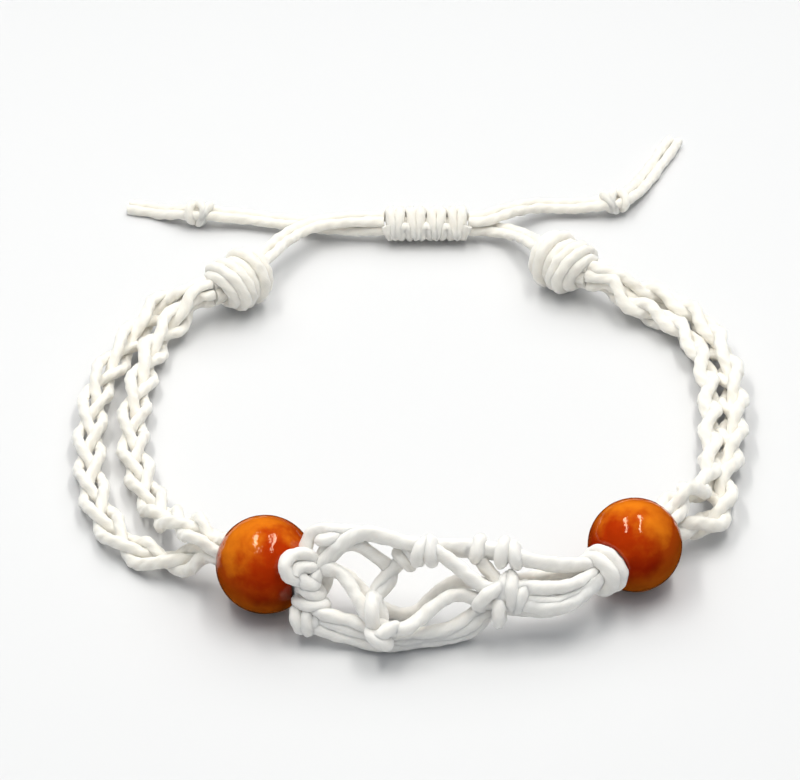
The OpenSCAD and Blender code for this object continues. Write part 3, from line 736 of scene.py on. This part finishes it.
# Each run's swell, and the places that it goes through.
net_routes = {
    "arc_front": (1.0, [
        (-10.79, -31.83, 5.2), (-10.14, -32.01, 6.8), (-9.2, -31.94, 8.2), (-7.96, -31.6, 9.5),
        (-6.62, -31, 10.2), (-5.19, -30.92, 10.6), (-3.75, -31.17, 10.6), (-2.31, -31.58, 10.4),
        (-0.88, -31.94, 10.1), (0.45, -32.26, 9.9), (1.68, -32.46, 9.6), (2.9, -32.9, 9.1),
        (4.23, -33.54, 8.3), (5.56, -34.21, 7.4), (6.9, -34.68, 6.6), (8.23, -34.68, 6.2),
        (9.57, -34.4, 6.1), (11.01, -34.23, 6.1), (12.65, -34.31, 6.1), (14.29, -34.23, 6.1),
        (15.97, -33.5, 5.9), (17.49, -31.87, 5.5), (19.04, -29.91, 5.1)]),
    "arc_back": (1.0, [
        (-11.2, -31.59, 5.4), (-11.49, -31.19, 7.2), (-11.38, -30.47, 8.6), (-10.86, -29.91, 9.6),
        (-9.72, -29.88, 10.1), (-8.38, -30.21, 10.3), (-7.14, -30.38, 10.3), (-6.02, -30.29, 10.1),
        (-4.48, -30.29, 9.9), (-2.93, -30.66, 9.8), (-1.39, -31.19, 9.7), (0.15, -31.43, 9.5),
        (1.79, -31.47, 9.4), (3.44, -31.22, 9.2), (5.08, -31.26, 9.1), (6.72, -31.3, 9),
        (8.26, -31.67, 8.9), (9.79, -32.07, 8.7), (11.33, -32.39, 8.3), (12.98, -32.47, 7.9),
        (14.76, -31.97, 7.3), (16.56, -31.19, 6.6), (18.17, -30.24, 5.9), (19.25, -29.82, 5.3)]),
    "front": (1.15, [
        (-10.68, -31.92, 5.4), (-9.94, -32.09, 6.6), (-8.89, -32.58, 7.2), (-7.86, -32.91, 7),
        (-6.93, -33.79, 6.4), (-6.21, -34.88, 5.7), (-5.49, -35.87, 4.8), (-4.67, -36.79, 4.1),
        (-3.54, -37.54, 3.8), (-2.21, -38.14, 3.9), (-0.88, -38.26, 4.2), (0.34, -37.39, 4.6),
        (1.57, -36.24, 5.1), (2.81, -35.28, 5.5), (4.14, -34.75, 5.6), (5.48, -34.71, 5.3),
        (6.91, -35.03, 4.9), (8.35, -35.11, 4.7), (10.1, -34.99, 4.6), (11.94, -35.19, 4.5),
        (13.88, -35.51, 4.5), (15.86, -34.75, 4.6), (17.67, -32.97, 4.8), (19.11, -30.81, 4.9)]),
    "low_front": (1.2, [
        (-10.89, -32.08, 4.6), (-10.97, -33.62, 4), (-10.02, -35.19, 3.7), (-8.48, -35.63, 3.4),
        (-6.83, -35.83, 3.1), (-5.29, -36.47, 2.9), (-3.65, -36.83, 2.4), (-1.91, -36.83, 2),
        (-0.16, -36.55, 1.9), (1.59, -36.47, 2.1), (3.33, -36.19, 2.4), (4.78, -35.55, 2.8),
        (6.01, -34.83, 3.4), (7.25, -34.46, 3.9), (8.78, -34.35, 4.6), (10.62, -34.59, 4.8),
        (12.46, -34.91, 4.8), (14.3, -34.91, 4.8), (16.19, -33.94, 4.8), (17.9, -32.44, 4.9),
        (19.23, -30.52, 4.8)]),
    "low_mid": (1.35, [
        (-10.89, -32.12, 4.5), (-11.18, -33.86, 3.8), (-10.65, -34.87, 2.9), (-9.1, -35.51, 2.5),
        (-7.46, -35.95, 2.2), (-5.81, -36.31, 1.9), (-4.27, -36.75, 1.6), (-2.62, -36.91, 1.4),
        (-0.88, -36.85, 1.35), (0.87, -36.43, 1.4), (2.52, -36.21, 1.55), (4.16, -35.95, 1.8),
        (5.6, -35.51, 2.3), (6.74, -34.83, 3), (7.77, -34.3, 3.5), (9.42, -34.3, 3.5),
        (11.28, -34.26, 3.2), (13.14, -34.3, 3.1), (14.91, -33.82, 3.1), (16.58, -33.01, 3.5),
        (18.05, -31.91, 4.2), (19.13, -30.6, 4.6)]),
    "bottom": (1.25, [
        (-11, -32.16, 4.4), (-11.39, -33.78, 3.6), (-11.17, -34.99, 2.6), (-9.93, -35.75, 1.9),
        (-8.29, -36.11, 1.4), (-6.54, -36.4, 1.1), (-4.89, -36.85, 0.95), (-3.14, -37.17, 0.95),
        (-1.29, -36.93, 0.95), (0.46, -36.54, 0.95), (2.11, -36.3, 0.95), (3.76, -35.9, 0.95),
        (5.31, -35.28, 1.1), (6.55, -34.83, 1.8), (7.38, -34.19, 2.6), (8.41, -33.7, 3),
        (9.97, -33.46, 2.8), (11.85, -33.22, 2.4), (13.81, -33.14, 2.4), (15.79, -32.65, 2.8),
        (17.66, -31.83, 3.6), (19.13, -30.65, 4.5)]),
    "far": (1.0, [
        (-10.37, -31.59, 5.8), (-9.53, -31.52, 7.2), (-8.49, -31.21, 8.4), (-7.35, -30.89, 9.2),
        (-6.22, -30.77, 9.1), (-5.1, -31, 8.5), (-3.96, -31.32, 7.7), (-2.94, -31.52, 6.8),
        (-2.52, -31.88, 5.9), (-3.04, -32.48, 5.2), (-3.86, -33.34, 4.7), (-4.47, -34.59, 4.4),
        (-4.88, -35.99, 4.1)]),
    "low_far": (1.0, [
        (-10.7, -31.42, 4.6), (-9.79, -30.11, 4.6), (-8.56, -29.37, 4.4), (-7.32, -29.41, 3.9),
        (-6.28, -29.87, 3.2), (-5.24, -30.7, 2.4), (-3.99, -31.52, 1.6), (-2.53, -31.94, 1),
        (-1.08, -32.26, 1), (0.38, -32.05, 1.5), (1.62, -31.72, 2.7), (2.86, -31.51, 4),
        (4.19, -31.71, 4.9), (5.62, -32.2, 5.3), (7.16, -32.61, 5.3), (8.83, -32.24, 5),
        (10.91, -31.59, 5), (13.4, -31.18, 5.2), (15.88, -30.93, 5.4), (17.77, -30.48, 5.3),
        (19.14, -30.07, 5.1)]),
    "cross": (1.0, [
        (1.17, -31.31, 9.4), (0.15, -31.21, 8.8), (-0.98, -31.24, 7.9), (-2.01, -31.48, 6.9),
        (-2.94, -32, 6), (-3.76, -32.65, 5.2), (-4.38, -33.54, 4.6), (-4.78, -34.83, 4.2),
        (-4.98, -36.03, 3.6)]),
    "top_turn": (1.0, [
        (-8.59, -29.96, 9.9), (-9.01, -30.4, 9.2), (-9.42, -30.75, 8.3), (-9.95, -31.03, 7.2),
        (-10.58, -31.22, 5.9)]),
    "k_band": (1.0, [
        (3.03, -31.05, 8.8), (4.27, -30.96, 8.6), (5.61, -31.04, 8.4), (6.94, -31.08, 8.3),
        (8.28, -31.25, 8.3)]),
    "drop": (1.0, [
        (5.29, -31.34, 8.9), (6.11, -31.62, 8.2), (6.84, -31.93, 7.4), (7.66, -32.54, 6.7),
        (8.58, -33.3, 6)])}
# Two loops of cord that climb from the net over the left bead.
bead_loops = [
    [(-10.16, -31, 6.78), (-11.05, -31.68, 8.12), (-12.05, -32.2, 8.93), (-13.06, -32.96, 9.08),
     (-13.51, -33.69, 8.56), (-13.16, -34.07, 7.68), (-12.26, -33.87, 6.86), (-11.36, -33.27, 6.24),
     (-10.67, -32.56, 5)],
    [(-9.77, -30.64, 5.29), (-10.65, -32.08, 6.99), (-11.55, -32.87, 7.7), (-12.35, -33.45, 7.97),
     (-12.65, -33.91, 7.55)]]
# Turns of the net's small knots: place, way through, how far out, and swell.
net_turns = [
    ((-11.36, -33.06, 6.6), (0.74, -0.01, 0.84), 0.95, 1.35),
    ((-10.96, -33.26, 5.3), (0.67, 0.11, 0.84), 1.05, 1.40),
    ((-10.87, -33.82, 3.9), (0.14, 0.42, 0.92), 1.20, 1.15),
    ((-12.1, -34.87, 2.5), (0.97, -0.09, 0.39), 0.75, 0.90),
    ((-11.07, -35.07, 2.4), (1.0, -0.29, 0.11), 0.78, 0.95),
    ((-10.15, -34.79, 2.3), (0.94, -0.36, -0.16), 0.70, 0.85),
    ((-8.9, -30.41, 9.6), (-0.17, 0.5, 0.86), 0.75, 0.85),
    ((0.45, -32.42, 9.5), (0.91, -0.45, -0.19), 0.85, 1.00),
    ((1.48, -32.29, 9.4), (1.0, -0.11, 0.19), 0.90, 1.10),
    ((-4.46, -36.79, 4.9), (1.0, -0.03, 0.09), 1.35, 1.30),
    ((-3.96, -35.39, 4.4), (0.93, 0.14, 0.36), 1.00, 1.05),
    ((-3.84, -38.85, 3.3), (0.62, 0.18, 0.84), 0.82, 1.00),
    ((-3.13, -38.57, 3.6), (0.6, -0.75, -0.44), 0.95, 1.05),
    ((-1.29, -31.24, 7.5), (0.74, 0.31, 0.6), 0.70, 0.95),
    ((-0.36, -31.25, 8.3), (0.81, 0.26, 0.53), 0.72, 0.95),
    ((7.53, -34.83, 5.4), (0.63, -0.7, -0.45), 1.30, 1.30),
    ((8.88, -33.95, 5.6), (0.97, -0.27, -0.12), 1.10, 1.20),
    ((9.8, -33.99, 5.5), (1.0, -0.05, 0.1), 1.35, 1.35),
    ((8.45, -35.51, 4.1), (1.0, -0.15, 0.05), 0.95, 1.15),
    ((10.73, -34.35, 5.0), (0.94, -0.28, -0.22), 1.00, 1.15),
    ((6.32, -31.21, 8.8), (0.97, -0.23, -0.15), 0.80, 1.00),
    ((8.87, -31.71, 8.8), (0.98, -0.24, -0.08), 0.85, 1.00),
    ((10.11, -31.83, 8.5), (0.98, 0.04, 0.23), 0.80, 1.00)]
# The collars that tie the net to the beads: how far before the bead's middle, how far out, and swell.
bead_collars = [("left", 5.2, 1.55, 1.0), ("left", 6.4, 1.5, 1.0),
                ("right", 5.15, 1.9, 1.05), ("right", 6.3, 1.7, 1.05)]
net_cotton = waxed_cotton("waxed_cotton_net", (0.93, 0.9, 0.845), 0.12)


def outward(points):
    """Ways up and out from under the cage, which the flat side of a net cord faces."""
    return [((Vector(p) - net_middle) * net_spread).normalized() for p in points]


net_lines = []
for swell, route in net_routes.values():
    line = even(spline(route))
    net_lines.append({"points": line, "out": outward(line), "swell": [swell] * len(line)})
for route in bead_loops:
    loop = even(spline(route))
    outs = [(Vector(p) - Vector(beads["left"][0])).normalized() for p in loop]
    net_lines.append({"points": loop, "out": outs, "swell": [loop_swell] * len(loop)})
for at, way, radius, swell in net_turns:
    net_lines.append(turn(at, way, radius, swell=swell))
for hand, far, radius, swell in bead_collars:
    at, _, bore_way = beads[hand]
    net_lines.append(turn(Vector(at) - far * Vector(bore_way), bore_way, radius, steps=36, swell=swell))
net = cord_piece("stone_net", cord_tree, net_lines,
                 cord_settings(*net_cord, net_cotton, sides=18, spacing=0.2, ply_depth=0.03))
dressed(net, "net_cord", "crystal_net")
